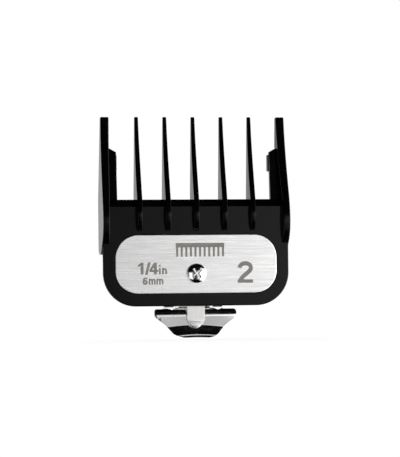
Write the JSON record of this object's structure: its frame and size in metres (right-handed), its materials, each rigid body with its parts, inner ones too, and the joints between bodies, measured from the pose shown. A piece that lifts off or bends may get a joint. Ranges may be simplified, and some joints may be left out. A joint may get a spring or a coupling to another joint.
{
  "type": "clipper guard comb",
  "caption": "Black hair clipper guard comb with a steel size plate, long parallel teeth and a sprung metal clip that hooks behind the blade.",
  "frame": {"origin": "middle of the blade seat, the flat rear face of the body that the clipper blade lies on", "axes": "+Z along the teeth towards their tips, +Y out of the blade seat towards the clipper blade, -Y out of the labelled front, +X across the teeth"},
  "size_m": [0.049, 0.0114, 0.0572],
  "materials": {
    "black_nylon": "semi-gloss glass-filled nylon",
    "brushed_steel": "brushed along the width",
    "polished_steel": "polished",
    "spring_steel": "satin"
  },
  "bodies": {
    "body": {"comb_body": "black_nylon", "label_plate": "brushed_steel", "centre_screw": "polished_steel", "hex_nut": "polished_steel", "leaf_spring": "spring_steel", "hinge_pin": "polished_steel"},
    "clip": {"clip_lever": "polished_steel"}
  },
  "joints": [
    {"name": "clip_hinge", "type": "hinge", "parent": "body", "child": "clip", "pos_m": [0, 0.0016, -0.0225], "axis": [1, 0, 0], "range_deg": [-22, 0], "stiffness_Nm_per_rad": 0.06, "springref_deg": 22.92, "deforming": ["leaf_spring"]}
  ]
}
